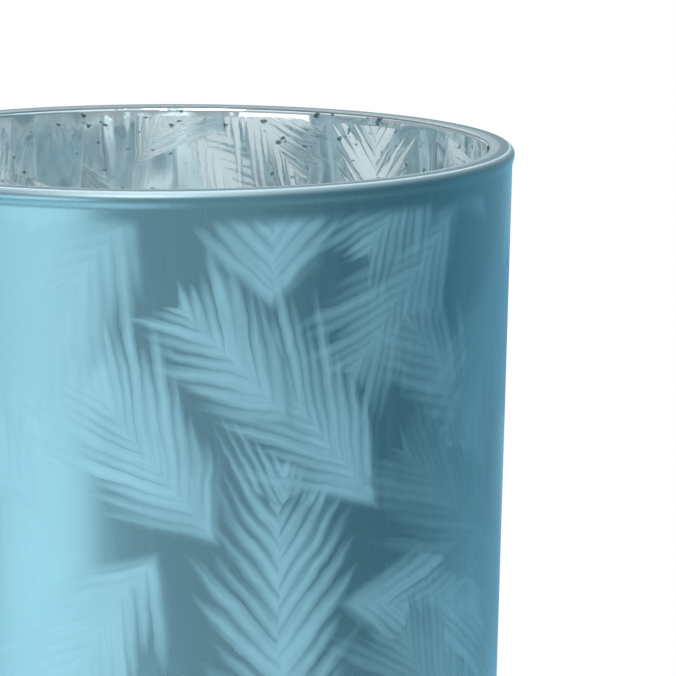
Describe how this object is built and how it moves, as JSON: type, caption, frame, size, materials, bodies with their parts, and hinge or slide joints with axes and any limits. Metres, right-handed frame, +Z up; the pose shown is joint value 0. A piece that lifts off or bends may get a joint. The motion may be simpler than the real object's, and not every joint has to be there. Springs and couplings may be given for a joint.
{
  "type": "glass lantern",
  "caption": "Tapered frosted-glass candle lantern with a mirror-lined frond pattern and a battery tealight that lifts out, with a coin-turn battery cover and a slide switch",
  "frame": {"origin": "centre of the foot, on the surface that the lantern stands on", "axes": "+Z up along the vessel's axis; +X from the tealight's axis towards its switch; the picture looks from the -Y side"},
  "size_m": [0.1, 0.1, 0.125],
  "materials": {
    "frosted_blue_glass": "satin blue lacquer outside, silvered inside, with matte fronds",
    "wax_plastic": "satin",
    "flame_plastic": "translucent satin",
    "lamp_resin": "clear",
    "tinned_wire": "tinned",
    "base_plastic": "fine grain",
    "cell_steel": "brushed",
    "switch_plastic": "fine grain"
  },
  "bodies": {
    "vessel": {"glass_vessel": "frosted_blue_glass"},
    "light": {"light_shell": "wax_plastic", "flame_lens": "flame_plastic", "lamp": "lamp_resin", "lamp_leads": "tinned_wire", "base_plate": "base_plastic", "side_contact": "tinned_wire"},
    "battery_tray": {"battery_cover": "base_plastic", "coin_cell": "cell_steel"},
    "switch": {"switch_knob": "switch_plastic"}
  },
  "joints": [
    {"name": "light_lift", "type": "slide", "parent": "vessel", "child": "light", "axis": [0, 0, 1], "range_m": [0, 0.12]},
    {"name": "cover_twist", "type": "hinge", "parent": "light", "child": "battery_tray", "pos_m": [-0.0036, 0, 0.0082], "axis": [0, 0, 1], "range_deg": [-45, 0]},
    {"name": "switch_slide", "type": "slide", "parent": "light", "child": "switch", "axis": [0, 1, 0], "range_m": [0, 0.003]}
  ]
}
